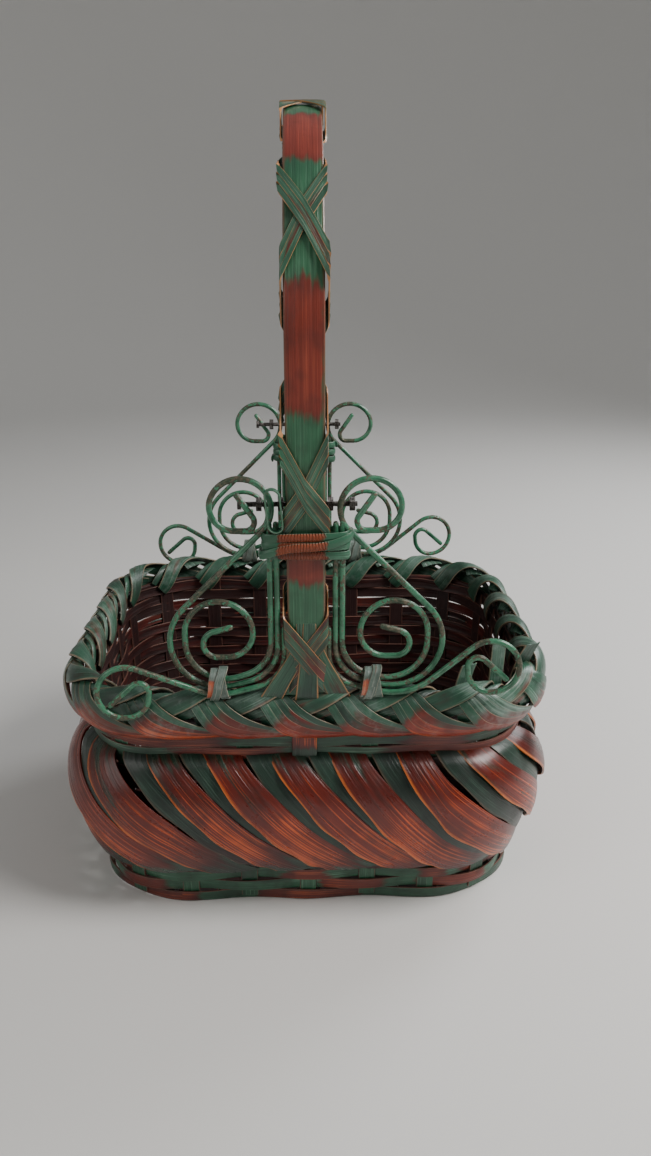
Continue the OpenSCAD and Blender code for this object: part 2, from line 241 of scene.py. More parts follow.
def splint_piece(bm, name, material, nodes, thick=splint_t, offset=0, bevel=0.3 * mm, steps=1,
                 behind=None):
    """Gives the strips their thickness and eased edges, and makes them one piece.
    Behind is the material of their hidden face and cut edges, where it differs."""
    bmesh.ops.remove_doubles(bm, verts=bm.verts[:], dist=0.01 * mm)
    piece = add_piece(bm, name, material, nodes)
    wall = piece.modifiers.new("thickness", "SOLIDIFY")
    wall.thickness = thick
    wall.offset = offset
    wall.use_even_offset = True
    if behind:
        piece.data.materials.append(behind)
        wall.material_offset = 1
        wall.material_offset_rim = 1
    eased = piece.modifiers.new("eased_edges", "BEVEL")
    eased.width = bevel
    eased.segments = steps
    eased.limit_method = "ANGLE"
    eased.angle_limit = math.radians(50)
    eased.harden_normals = True
    return piece


class Paint:
    """A socket of a material's nodes, so that sums on sockets are written as sums."""

    def __init__(self, tree, socket):
        self.tree = tree
        self.socket = socket

    def reckon(self, operation, *terms):
        node = self.tree.nodes.new("ShaderNodeMath")
        node.operation = operation
        for slot, term in zip(node.inputs, terms):
            if isinstance(term, Paint):
                self.tree.links.new(term.socket, slot)
            else:
                slot.default_value = term
        return Paint(self.tree, node.outputs[0])

    def __add__(self, other):
        return self.reckon("ADD", self, other)

    def __sub__(self, other):
        return self.reckon("SUBTRACT", self, other)

    def __rsub__(self, other):
        return self.reckon("SUBTRACT", other, self)

    def __mul__(self, other):
        return self.reckon("MULTIPLY", self, other)

    def __truediv__(self, other):
        return self.reckon("DIVIDE", self, other)

    def __abs__(self):
        return self.reckon("ABSOLUTE", self)

    __radd__ = __add__
    __rmul__ = __mul__

    def waves(self, pitch):
        """Ripples between -1 and 1."""
        turn = self * (2 * math.pi / pitch)
        return turn.reckon("SINE", turn)

    def step(self, low, high):
        """0 below low and 1 above high."""
        part = (self - low) / (high - low)
        return part.reckon("MINIMUM", part.reckon("MAXIMUM", part, 0), 1)


class Finish:
    """A material with one glossy shader, and the nodes that vary it."""

    def __init__(self, name):
        self.material = bpy.data.materials.new(name)
        self.material.use_nodes = True
        self.tree = self.material.node_tree
        self.shader = self.tree.nodes["Principled BSDF"]

    def put(self, kind, settings=None, values=None, output=0):
        """Adds a node with its settings and the values or links of its sockets."""
        node = self.tree.nodes.new(kind)
        for name, value in (settings or {}).items():
            setattr(node, name, value)
        for name, value in (values or {}).items():
            self.connect(node.inputs[name], value)
        return Paint(self.tree, node.outputs[output])

    def connect(self, slot, value):
        if isinstance(value, Paint):
            self.tree.links.new(value.socket, slot)
        else:
            slot.default_value = value

    def set(self, **values):
        for name, value in values.items():
            self.connect(self.shader.inputs[name.replace("_", " ")], value)

    def mix(self, a, b, factor):
        return self.put("ShaderNodeMix", {"data_type": "RGBA"}, {0: factor, 6: a, 7: b}, 2)

    def noise(self, vector, scale=1, detail=3, rough=0.5):
        return self.put("ShaderNodeTexNoise", {},
                        {"Vector": vector, "Scale": scale, "Detail": detail, "Roughness": rough})

    def axes(self, x, y, z):
        return self.put("ShaderNodeCombineXYZ", {}, {0: x, 1: y, 2: z})

    def bump(self, height, depth):
        return self.put("ShaderNodeBump", {}, {"Height": height, "Distance": depth, "Strength": 1})


def tint(red, green, blue):
    """A colour as on a paint card, 0 to 255, as light."""
    return tuple(((c / 255 + 0.055) / 1.055) ** 2.4 for c in (red, green, blue)) + (1,)


def stained_bamboo(name, greens, reds, worn_and_lit_edge_colour, grime_and_shade=0.35, gloss=0.4, chalk=0.0, lit_low_edge=False,
                   ribs=0.0):
    """Split bamboo, dyed green, with red stain where the stain value of a splint is high.
    Greens and reds each run from dark to light. Chalk is a pale dust, and ribs run across."""
    finish = Finish(name)
    uv = finish.put("ShaderNodeUVMap", {"uv_map": "splint"})
    split = {"Vector": uv}
    along = finish.put("ShaderNodeSeparateXYZ", {}, split)
    across = finish.put("ShaderNodeSeparateXYZ", {}, split, 1)
    stain, tone, side = (finish.put("ShaderNodeAttribute", {"attribute_name": layer}, output=2)
                         for layer in ("stain", "tone", "edge"))
    place = finish.put("ShaderNodeTexCoord", output=3)

    fibres = finish.noise(finish.axes(along * 26, across * 1500, tone * 57))
    streaks = finish.noise(finish.axes(along * 11, across * 420, tone * 31), detail=2)
    patches = finish.noise(finish.axes(along * 48, across * 150, tone * 17), rough=0.6)
    drift = finish.noise(place, 34, 2)

    redness = (stain + (patches - 0.5) * 1.1 + (streaks - 0.5) * 0.7).step(0.36, 0.64)
    green = finish.mix(greens[0], greens[1], (drift * 0.7 + streaks * 0.6 + tone * 0.3).step(0.45, 1.1))
    green = finish.mix(green, greens[2], (fibres + (drift - 0.5) * 0.6).step(0.58, 0.74) * 0.75)
    depth = stain * 0.55 + streaks * 0.45 + drift * 0.4 + (tone - 0.5) * 0.2
    red = finish.mix(reds[0], reds[1], depth.step(0.55, 1.05))
    grain = finish.noise(finish.axes(along * 8, across * 1700, tone * 83), detail=2)
    lines = (grain * 0.8 + stain * 0.3 + drift * 0.3).step(0.87, 1.0)
    red = finish.mix(red, reds[2], lines * redness * 0.85)
    colour = finish.mix(green, red, redness)
    # Rubbed edges take the edge colour as wear. With a lit low edge only the lower edge takes it, as wear
    # and also as a painted highlight where the raised edge catches the light.
    edge = side * -1 if lit_low_edge else abs(side)
    worn = edge.step(0.84, 0.99) * (patches + fibres * 0.5).step(0.45, 0.75)
    if lit_low_edge:
        worn = worn * stain.step(0.3, 0.7)
    colour = finish.mix(colour, worn_and_lit_edge_colour, worn * 0.85)
    if chalk:
        dust = (finish.noise(place, 210, 4, 0.65) + (drift - 0.5)).step(0.5, 0.72)
        colour = finish.mix(colour, tint(142, 152, 148), dust * chalk)
    # Dark patches at random: dirt, and painted shade as well where the grime value is raised.
    dirt_and_shade = finish.noise(place, 90, 3).step(0.5, 0.75) * grime_and_shade
    colour = finish.mix(colour, tint(20, 14, 12), dirt_and_shade)

    finish.set(Base_Color=colour, Roughness=gloss + (patches - 0.5) * 0.3 + dirt_and_shade * 0.3,
               Coat_Weight=0.18, Coat_Roughness=0.22)
    relief = fibres * 0.6 + streaks * 1.4 + patches * 0.5
    if ribs:
        relief = relief + along.waves(1.5 * mm) * redness * ribs
    finish.set(Normal=finish.bump(relief, 0.35 * mm))
    return finish.material


inside_bamboo = stained_bamboo(
    "inside_bamboo",
    [tint(30, 14, 14), tint(46, 22, 21), tint(58, 40, 36)],
    [tint(44, 12, 10), tint(84, 24, 18), tint(104, 48, 36)],
    tint(110, 74, 62), grime_and_shade=0.5, gloss=0.5)


def woven_floor():
    pitch = 11.5 * mm
    width = 10.4 * mm
    lift = 0.65 * mm
    end_gap = 0.5 * mm
    level = (mat_low.z + mat_high.z) / 2
    half = (mat_high.x, mat_high.y)
    bm = new_splints()

    def reach(offset, lengthwise):
        """Half length of a splint that lies at an offset from the middle."""
        own, other = (half[0], half[1]) if lengthwise else (half[1], half[0])
        into_corner = max(abs(offset) - (other - corner_r), 0)
        return own - corner_r + math.sqrt(max(corner_r ** 2 - into_corner ** 2, 0)) - end_gap

    for lengthwise in (True, False):
        count = int((half[1] if lengthwise else half[0]) * 2 / pitch) - 1
        for i in range(count):
            offset = (i - (count - 1) / 2) * pitch
            length = reach(abs(offset) + width / 2, lengthwise)
            parity = i if lengthwise else i + 1

            def place(part, side, offset=offset, length=length, parity=parity):
                run = (part * 2 - 1) * length
                swing = math.cos(math.pi * (run / pitch + parity))
                spot = Vector((run, offset + side * width / 2, level + lift * swing))
                if not lengthwise:
                    spot = Vector((-spot.y, spot.x, spot.z))
                return spot

            lay_splint(bm, place, int(length * 2 / pitch * 4), 1, width / 2, stain=0.45)
    splint_piece(bm, "woven_floor", inside_bamboo, ["floor_mat"], 0.8 * mm, bevel=0.2 * mm)


woven_floor()


# ---------------------------------------------------------------- stakes
# The stakes are the ribs of the basket: flat splints that cross under the floor and
# turn up both walls, and short ones pushed in at the corners. Green dye covers them.

stake_w = 9.5 * mm
# Its grime is raised so that the stakes and green rows come out darker: painted shade, for the shade that
# the belly casts over the base.
green_bamboo = stained_bamboo(
    "green_bamboo",
    [tint(24, 46, 35), tint(44, 92, 66), tint(92, 132, 108)],
    [tint(46, 15, 11), tint(104, 34, 22), tint(176, 84, 44)],
    tint(112, 112, 90), grime_and_shade=0.55)


def crossing_stakes(name, node, count, lengthwise, low_half, top_half, level):
    """Stakes from wall to wall. The middle one from front to back is cut short at both ends,
    because the handle's tongues take its place."""
    bm = new_splints()
    turn = 5 * mm
    cut_top = 22 * mm
    for i in range(-count, count + 1):
        top = cut_top if i == 0 and not lengthwise else wall_h
        half_top = low_half + (top_half - low_half) * top / wall_h
        wall = [Vector((half_top + (low_half - half_top) * k / 6, top + (turn - top) * k / 6))
                for k in range(7)]
        under = [Vector((low_half - 0.3 * turn, 0.3 * turn)), Vector((low_half - turn, 0))]
        half_way = wall + under + [Vector(((low_half - turn) * (1 - k / 7), 0)) for k in range(1, 8)]
        whole = half_way + [Vector((-p.x, p.y)) for p in reversed(half_way[:-1])]

        def place(part, side, i=i, whole=whole):
            spot = follow(whole, part)
            flat = i * stake_step - side * stake_w / 2
            height = level + spot.y
            if lengthwise:
                return Vector((-spot.x, flat, height))
            return Vector((flat, spot.x, height))

        lay_splint(bm, place, 90, 2, stake_w / 2, stain=0.12)
    splint_piece(bm, name, green_bamboo, [node], behind=inside_bamboo)


def corner_stakes():
    bm = new_splints()
    foot, tall = 2.4, 122
    for number in (3, 4, 8, 9, 15, 16, 20, 21):
        run = side_x / 2 + number * stake_step

        def place(part, side, run=run):
            return wall_point(run - side * stake_w / 2, 0, (foot + tall * part) * mm)

        lay_splint(bm, place, 24, 2, stake_w / 2, stain=0.12)
    splint_piece(bm, "stakes_in_corners", green_bamboo, ["corner_stakes"],
                 behind=inside_bamboo)


crossing_stakes("stakes_front_to_back", "cross_stakes", 2, False, base_half_y, top_half_y, splint_t / 2)
crossing_stakes("stakes_side_to_side", "long_stakes", 1, True, base_half_x, top_half_x, splint_t * 1.5)
corner_stakes()


# ---------------------------------------------------------------- wall rows
# Rows of thin weavers pass in front of one stake and behind the next. Four green rows
# make the base, and two stained ones the waist, with a green one above them under the
# border. Dark rows fill the wall between, and one shows inside under the border.

row_h = 6.2 * mm
row_step = 7.2 * mm
waist_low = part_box("waist_weaver_lower")[0].z
weave_swing = 1.25 * mm
weaver_t = 1.1 * mm
waist_bamboo = stained_bamboo(
    "waist_bamboo",
    [tint(26, 46, 36), tint(52, 92, 68), tint(96, 126, 104)],
    [tint(48, 14, 10), tint(104, 34, 24), tint(160, 78, 48)],
    tint(112, 100, 80))


def wave(run, row):
    """1 where a row passes outside a stake, -1 where it passes behind one."""
    return math.cos(math.pi * ((run - side_x / 2) / stake_step + row))


def lay_row(bm, low, row, stain, height=row_h * 1.1, unevenness=0.4 * mm, proud=0):
    """A weaver all the way round. Proud 0 weaves it in fully, and 1 leaves it outside."""
    shift = luck.random() * 6
    lowest = 0.6 * mm

    def place(part, side):
        run = part * round_length
        around = part * 2 * math.pi
        wobble = math.sin(around * 7 + shift) + math.sin(around * 12 + shift * 3)
        swell = 1 + 0.06 * math.sin(around * 9 + shift * 5)
        crown = 0.35 * mm * (1 - side * side)
        z = low + height / 2 + side * height / 2 * swell + wobble * unevenness / 2
        swing = weave_swing * (wave(run, row) * (1 - proud) + proud)
        return wall_point(run, swing + crown, max(z, lowest))

    lay_splint(bm, place, stake_count * 7, 3, height / 2, stain=stain)


def painted_by_hand(level, spread, count):
    """Stain that comes and goes round the basket, in a count of dabs that fade at their reach."""
    places = [(luck.random(), luck.uniform(0.4, 1.0) * spread) for _ in range(count)]

    def stain(part, side):
        most = 0
        for middle_part, reach in places:
            away = abs((part - middle_part + 0.5) % 1 - 0.5)
            most = max(most, 1 - away / reach)
        return level + 0.75 * smooth(0.1, 0.8, most)

    return stain


def wall_rows():
    for number, node in enumerate(["base_weaver_lower", "base_weaver_middle", "base_weaver_upper"]):
        bm = new_splints()
        lay_row(bm, number * row_step, number, painted_by_hand(0.12, 0.04, 9))
        splint_piece(bm, "base_row_" + str(number + 1), green_bamboo, [node], weaver_t,
                     behind=inside_bamboo)
    for number, node in enumerate(["waist_weaver_lower", "waist_weaver_upper"]):
        bm = new_splints()
        low = waist_low + number * row_step
        lay_row(bm, low, number + 1, painted_by_hand(0.26, 0.06, 10), proud=0.45)
        splint_piece(bm, "waist_row_" + str(number + 1), waist_bamboo, [node], weaver_t,
                     behind=inside_bamboo)
    bm = new_splints()
    lay_row(bm, 3 * row_step, 3, 0.15)
    lay_row(bm, waist_low + 2 * row_step, 3, 0.2)
    splint_piece(bm, "outer_rows", green_bamboo, ["wall_lining"], weaver_t,
                 behind=inside_bamboo)
    bm = new_splints()
    first = 4 * row_step
    count = round((waist_low - first) / row_step)
    step = (waist_low - first) / count
    for number in range(count):
        lay_row(bm, first + number * step, number, 0.45, step * 0.98, 0.25 * mm)
    lay_row(bm, waist_low + 3 * row_step, 0, 0.45)
    splint_piece(bm, "inner_rows", inside_bamboo, ["wall_lining"], weaver_t)


wall_rows()


# ---------------------------------------------------------------- swirl
# A broad splint and a narrower one under its left edge spring from each stake at the
# waist, belly out and lie down to the right. The broad ones are stained red over the
# green dye, and the narrower ones stay mostly green, in darker colours that are painted
# shade for the shadow of the broad ones over them.

swirl_run = 72 * mm
swirl_start = -5.6 * mm
swirl_high = waist_low + 3 * mm
swirl_low = 24 * mm
swirl_turn = math.radians(62)
swirl_w = 18.5 * mm
under_w = 17 * mm
under_shift = -12.5 * mm
under_depth = 3 * mm
belly_high = waist_low + 3 * mm
belly_low = 17 * mm
belly_widest = 72 * mm
belly_tuck = 0.3 * mm
belly_foot = 1.3 * mm
belly_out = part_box("right_swirl_splints")[1].x - half_x(belly_widest) - 2.2 * mm
# The bright orange along each broad splint's lower edge is partly wear on the torn edge and partly a painted
# highlight on the raised, lit edge.
swirl_bamboo = stained_bamboo(
    "swirl_bamboo",
    [tint(24, 34, 28), tint(44, 70, 54), tint(74, 94, 82)],
    [tint(36, 12, 9), tint(106, 27, 13), tint(206, 88, 34)],
    tint(220, 118, 48), grime_and_shade=0.4, gloss=0.3, lit_low_edge=True)
# Darker colours than the broad splints: painted shade, for the narrow splints lying in the shadow of the
# broad ones.
shaded_under_bamboo = stained_bamboo(
    "shaded_under_bamboo",
    [tint(14, 25, 20), tint(29, 56, 43), tint(58, 84, 70)],
    [tint(28, 10, 8), tint(62, 19, 13), tint(108, 50, 33)],
    tint(90, 70, 52), grime_and_shade=0.45, gloss=0.4)


def belly(z):
    """How far the swirl stands out from the wall at a height."""
    part = min(max((belly_high - z) / (belly_high - belly_low), 0), 1)
    bulge = math.sin(math.pi * part ** 0.75) ** 0.8
    return -belly_tuck + (belly_out + belly_tuck) * bulge + belly_foot * part


def lay_swirl(bm, start, width, depth, stain, tilt):
    """A splint of the swirl, depth under the belly. Both of its ends are cut level, whatever
    its slope there, and tilt lifts its lower edge."""
    bow = luck.uniform(-1, 1) * 1.2 * mm
    rag = luck.random() * 9
    fall = (swirl_high - swirl_low + luck.uniform(-2.5, 2.5) * mm) / math.sin(swirl_turn)

    def slope(part):
        """Angle of the splint below level."""
        return math.atan2(fall * math.cos(swirl_turn * part) * swirl_turn, swirl_run)

    def place(part, side):
        narrow = (0.8 + 0.2 * smooth(0, 0.4, part)) * (1 - 0.25 * smooth(0.7, 1.05, part))
        across = side * width / 2 * narrow
        level = 1 - smooth(0, 0.3, part) * (1 - smooth(0.65, 1, part))
        spot = part + level * across / math.tan(slope(part)) * math.cos(slope(part)) / swirl_run
        ragged = 0.5 * mm * math.sin(part * 23 + rag) if side < -0.95 else 0
        across += ragged + bow * math.sin(math.pi * part)
        z = swirl_high - fall * math.sin(swirl_turn * spot) + across * math.cos(slope(spot))
        way = start + swirl_run * spot + across * math.sin(slope(spot))
        lifted = smooth(0, 0.15, part)
        raised = -(0.10 + tilt * part) * across * lifted + 0.6 * mm * (1 - side * side)
        return wall_point(way, belly(z) + raised - depth * lifted, z)

    lay_splint(bm, place, 34, 7, width / 2, stain=stain)


def over_stain(strength, top, foot):
    """Red along most of it, and greener at both ends and along its upper edge."""
    def stain(part, side):
        dyed = smooth(top - 0.1, top + 0.12, part) * (1 - 0.8 * smooth(foot - 0.2, foot + 0.12, part))
        bright = 0.55 + 0.45 * smooth(0.2, 0.55, part)
        return 0.3 + strength * dyed * bright - 0.3 * smooth(0.1, 1, side) * smooth(0.3, 0.9, part)
    return stain


def under_stain(part, side):
    """Green, with some red from half way down."""
    return 0.08 + 0.5 * smooth(0.35, 0.75, part)


def swirl():
    names = ["front", "right", "back", "left"]
    per_side = stake_count // 4
    starts = [swirl_start + i * stake_step + luck.uniform(-3, 3) * mm for i in range(stake_count)]
    for side, name in enumerate(names):
        bm = new_splints()
        for start in starts[side * per_side:(side + 1) * per_side]:
            stain = over_stain(luck.uniform(0.75, 0.95), luck.uniform(-0.12, 0.05), luck.uniform(0.8, 1.0))
            lay_swirl(bm, start, swirl_w * luck.uniform(0.9, 1.08), 0, stain, 0.15)
        splint_piece(bm, name + "_broad_splints", swirl_bamboo, [name + "_swirl_splints"])
    bm = new_splints()
    for start in starts:
        lay_swirl(bm, start + under_shift, under_w * luck.uniform(0.9, 1.1), under_depth, under_stain, 0.1)
    splint_piece(bm, "under_swirl", shaded_under_bamboo, ["under_splints"])


swirl()


# ---------------------------------------------------------------- rim
# The stakes end in a braided border. Each one rises to the right over the rim and folds in,
# and a bundle of thin splints comes out under the fold and lies down along the outside.

braid_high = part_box("rim_braid")[1]
tube_tall = 12 * mm
tube_z = braid_high.z - tube_tall - 1 * mm
tube_out = 3.2 * mm
tube_wide = 7.0 * mm
first_crest = side_x / 2 - 13 * mm
strand_w = 9.6 * mm
thin_strand_w = 4.5 * mm
tail_w = 3.9 * mm
rim_bamboo = stained_bamboo(
    "rim_bamboo",
    [tint(24, 46, 36), tint(56, 100, 78), tint(112, 138, 122)],
    [tint(56, 18, 13), tint(138, 42, 22), tint(208, 96, 48)],
    tint(150, 128, 104), grime_and_shade=0.45, gloss=0.38, chalk=0.22)


def rim_point(run, angle, lift):
    """Place on the round of the border: angle 0 is outside, 90 the top and 180 inside."""
    angle = math.radians(angle)
    return wall_point(run, tube_out + (tube_wide + lift) * math.cos(angle),
                      tube_z + (tube_tall + lift) * math.sin(angle))


def lay_strand(bm, crest, route, width, shift, stain, fan=None, along=30):
    """A strand of the border, moved sideways by a shift that a fan may change along it."""
    around = math.pi * (tube_wide + tube_tall) / 2 / 180

    def place(part, side):
        spot = follow(route, part)
        ahead = follow(route, min(part + 0.02, 1)) - follow(route, max(part - 0.02, 0))
        course = Vector((ahead.x, ahead.y * around)).normalized()
        across = side * width / 2 + shift * (fan(part) if fan else 1)
        return rim_point(crest + spot.x - across * course.y, spot.y + across * course.x / around,
                         spot.z + 0.3 * mm * (1 - side * side))

    lay_splint(bm, place, along, 3, width / 2, stain=stain)


# Ways round in millimetres from the crest, angles in degrees and lifts in millimetres.
rise = [(-44, -12, -2.6), (-34, 8, -1.4), (-23, 34, 0.0), (-12, 58, 1.6), (-3, 84, 2.4), (5, 120, 1.4),
        (12, 165, 0.0), (18, 205, -1.0)]
fall = [(-10, 108, -2.4), (-5.5, 62, -0.2), (0, 20, 1.6), (5, -3, 2.3), (13, -22, 2.4), (23, -36, 2.0),
        (34, -50, 1.0), (46, -58, -0.4)]


def strand_route(points, lift):
    """Way round, angle and lift of a strand from its crest, with the lengths in metres."""
    return [Vector((way * mm, angle, (height + lift) * mm)) for way, angle, height in points]


def rim_braid():
    """Each stake's broad strand and a thin one in the hole behind it, then its four tails."""
    rising = new_splints()
    falling = new_splints()
    for i in range(stake_count):
        crest = first_crest + i * stake_step + luck.uniform(-1.5, 1.5) * mm
        dyed = 0.08 + luck.uniform(0.0, 0.3)
        lay_strand(rising, crest, strand_route(rise, luck.uniform(-0.3, 0.8)),
                   strand_w * luck.uniform(0.9, 1.1), 0, dyed)
        lay_strand(rising, crest, strand_route(rise, -2.4), thin_strand_w, -7 * mm, dyed)
        tail_red = luck.uniform(0.6, 1.0)
        for number, shift in enumerate((5.1, 1.7, -1.7, -5.1)):
            def stain(part, side, number=number, tail_red=tail_red):
                return 0.08 + tail_red * smooth(0.2, 0.42, part) * (0.35 + 0.3 * number)

            lay_strand(falling, crest, strand_route(fall, 0.3 * (number - 1)), tail_w, shift * mm, stain,
                       lambda part: 1.05 - 0.9 * smooth(0.3, 1, part), 36)
    splint_piece(rising, "border_rising", rim_bamboo, ["rim_braid"], 1.1 * mm)
    splint_piece(falling, "border_falling", rim_bamboo, ["rim_braid"], 0.8 * mm)


def standing_ends():
    """Stakes left standing at the front right corner when the border was trimmed."""
    bm = new_splints()
    foot = 124
    across = Vector((0.92, 0.38, 0))
    for way, top, lean, slant, half in ((5, 149, 2, 3, 4.6), (27, 157, -1, 1, 4.4), (52, 149, 6, 3, 4.8)):
        def place(part, side, way=way, top=top, lean=lean, slant=slant, half=half):
            z = foot + part * (top + math.sin(side * 9) - foot)
            spot = wall_point(side_x + (way + slant * part ** 2) * mm, (lean * part ** 2 - 2.5) * mm, z * mm)
            return spot + across * side * half * mm

        lay_splint(bm, place, 14, 6, half * mm, stain=0.12)
    splint_piece(bm, "standing_ends", rim_bamboo, ["rim_braid"], 0.9 * mm)


def rim_hoop():
    low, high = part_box("rim_hoop")
    bm = new_splints()
    out = high.x - half_x(high.z) - 2 * mm

    def place(part, side):
        return wall_point(part * round_length, out, (low.z + high.z) / 2 + side * (high.z - low.z) / 2)

    lay_splint(bm, place, 120, 2, (high.z - low.z) / 2, stain=0.4)
    splint_piece(bm, "rim_hoop_strip", inside_bamboo, ["rim_hoop"], 3.2 * mm, bevel=1.2 * mm)


rim_braid()
standing_ends()
rim_hoop()


# ---------------------------------------------------------------- handle
# The handle is a thick strip bent over the basket, with a thinner one inside it. Its ends are
# thinned to tongues and woven down the wall, and wraps of thin splints cross along it.

bow_low, bow_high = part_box("handle_strip")
liner_low, liner_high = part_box("handle_liner")
bow_w = bow_high.x - bow_low.x
bow_t = bow_high.y - liner_high.y
liner_t = 3 * mm
leg_y = bow_high.y - bow_t / 2
bow_foot = liner_low.z
bow_centre = bow_high.z - bow_high.y
leg_length = bow_centre - bow_foot
bow_length = 2 * leg_length + math.pi * leg_y
# Lengths up from the front foot, where the wraps cross on the outer face.
crossings = [length * mm for length in (-80, 8, 92, 218, 318, 398, 470, 560, 646, 740)]
band_z = (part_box("front_band")[0].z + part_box("front_band")[1].z) / 2
handle_bamboo = stained_bamboo(
    "handle_bamboo",
    [tint(26, 50, 38), tint(48, 98, 68), tint(78, 122, 94)],
    [tint(74, 26, 19), tint(122, 46, 33), tint(162, 76, 54)],
    tint(120, 74, 56), grime_and_shade=0.35, gloss=0.36)
wrap_bamboo = stained_bamboo(
    "wrap_bamboo",
    [tint(26, 48, 38), tint(54, 98, 74), tint(98, 130, 108)],
    [tint(48, 20, 16), tint(96, 38, 29), tint(150, 76, 52)],
    tint(196, 136, 88), grime_and_shade=0.35, gloss=0.35)


def bow(length):
    """Middle of the outer strip and its outward direction at a length up from the front foot."""
    turn = (length - leg_length) / leg_y
    if turn < 0:
        return Vector((0, -leg_y, bow_foot + length)), Vector((0, -1, 0))
    if turn > math.pi:
        return Vector((0, leg_y, bow_foot + bow_length - length)), Vector((0, 1, 0))
    outward = Vector((0, -math.cos(turn), math.sin(turn)))
    return Vector((0, 0, bow_centre)) + outward * leg_y, outward


def bare_stain(length, side):
    """Red where the strip is bare and in a drip under each band, green elsewhere."""
    near = min(abs(length - crossing) for crossing in crossings)
    end = min(length, bow_length - length)
    under_band = band_z - bow_foot - end
    red = smooth(21 * mm, 36 * mm, near) * smooth(120 * mm, 138 * mm, end)
    drip = (1 - smooth(5 * mm, 12 * mm, abs(under_band - 12 * mm))) * (1 - 0.5 * side * side)
    return 0.12 + 0.78 * max(red, drip) - 0.15 * abs(side)


def handle_strips():
    foot = -14 * mm
    whole = bow_length - 2 * foot
    crown_h = 0.5 * mm
    bm = new_splints()

    def outer(part, side):
        length = foot + part * whole
        centre, outward = bow(length)
        flare = 1 + 0.28 * (1 - smooth(foot, 26 * mm, min(length, bow_length - length)))
        crown = crown_h * (1 - side * side)
        return centre + Vector((-side * bow_w / 2 * flare, 0, 0)) + outward * (bow_t / 2 - crown_h + crown)

    lay_splint(bm, outer, 150, 6, bow_w / 2,
               stain=lambda part, side: bare_stain(foot + part * whole, side))
    splint_piece(bm, "handle_bow", handle_bamboo, ["handle_strip"], bow_t - crown_h, -1,
                 0.9 * mm, 3)
    bm = new_splints()

    def inner(part, side):
        centre, outward = bow(part * bow_length)
        return centre + Vector((-side * (bow_w / 2 - 1.5 * mm), 0, 0)) - outward * (bow_t / 2 + liner_t / 2)

    lay_splint(bm, inner, 130, 3, bow_w / 2, stain=0.2)
    splint_piece(bm, "handle_inner_bow", handle_bamboo, ["handle_liner"],
                 liner_t, 0, 0.8 * mm, 2)


def handle_tongues():
    """Thinned ends of the handle, woven down the wall in the place of a stake."""
    bm = new_splints()
    low = 24 * mm
    for way in (-1, 1):
        def out_at(z):
            """Distance from the middle: on the wall below, under the strip above."""
            return half_y(z) + 2.2 * mm + (leg_y - 3 * mm - half_y(z)) * smooth(128 * mm, 150 * mm, z)

        def place(part, side, way=way, out_at=out_at):
            z = low + part * (bow_foot + 4 * mm - low)
            wide = 6.6 * mm + 1.4 * mm * smooth(110 * mm, 150 * mm, z)
            return Vector((way * side * wide - 1.5 * mm, way * out_at(z), z))

        def stain(part, side):
            z = low + part * (bow_foot - low)
            return 0.05 + 0.9 * smooth(96 * mm, 103 * mm, z) * (1 - smooth(112 * mm, 118 * mm, z))

        lay_splint(bm, place, 60, 3, 6.5 * mm, stain=stain)
    splint_piece(bm, "handle_tongues", swirl_bamboo, ["handle_strip"], 1.4 * mm)


def foot_splints():
    """Flat ends of the wraps, spread out where they go down behind the border."""
    bm = new_splints()
    top, fall_h = 176 * mm, 52 * mm
    ends = ((0.42, 3, 3.4, 0.3), (-0.5, -2, 4.4, 0.15), (-0.05, 1.5, 5.2, 0.05))
    for way in (-1, 1):
        for lean, top_x, out, redness in ends:
            def place(part, side, way=way, lean=lean, top_x=top_x, out=out):
                z = top - part * fall_h
                bent = smooth(0.1, 1, part)
                x = (top_x + lean * 38 * bent) * mm + side * (3.2 + 3.4 * part) * mm
                y = leg_y + out * mm * (0.35 + 0.65 * part) - 7 * mm * smooth(0.7, 1.0, part)
                return Vector((-way * x, way * y, z))

            lay_splint(bm, place, 24, 4, 6 * mm, stain=lambda part, side: redness + 0.2 * part)
    splint_piece(bm, "wrap_ends", wrap_bamboo, ["handle_wrap_left"], 0.9 * mm)


def wrap_angle(length):
    """Turns of a wrap at a length along the bow: whole numbers at the crossings."""
    for number, (before, after) in enumerate(zip(crossings, crossings[1:])):
        if length <= after:
            return number + (length - before) / (after - before)
    return len(crossings) - 1


def wound(turns, half_w, half_d):
    """Place round the handle's section: the middle of its outer face at whole turns."""
    def swing(turned):
        return 1 - 4 * abs((turned + 0.25) % 1 - 0.5)

    reach = half_w + half_d
    return (max(min(swing(turns) * reach, half_w), -half_w),
            max(min(swing(turns + 0.25) * reach, half_d), -half_d))


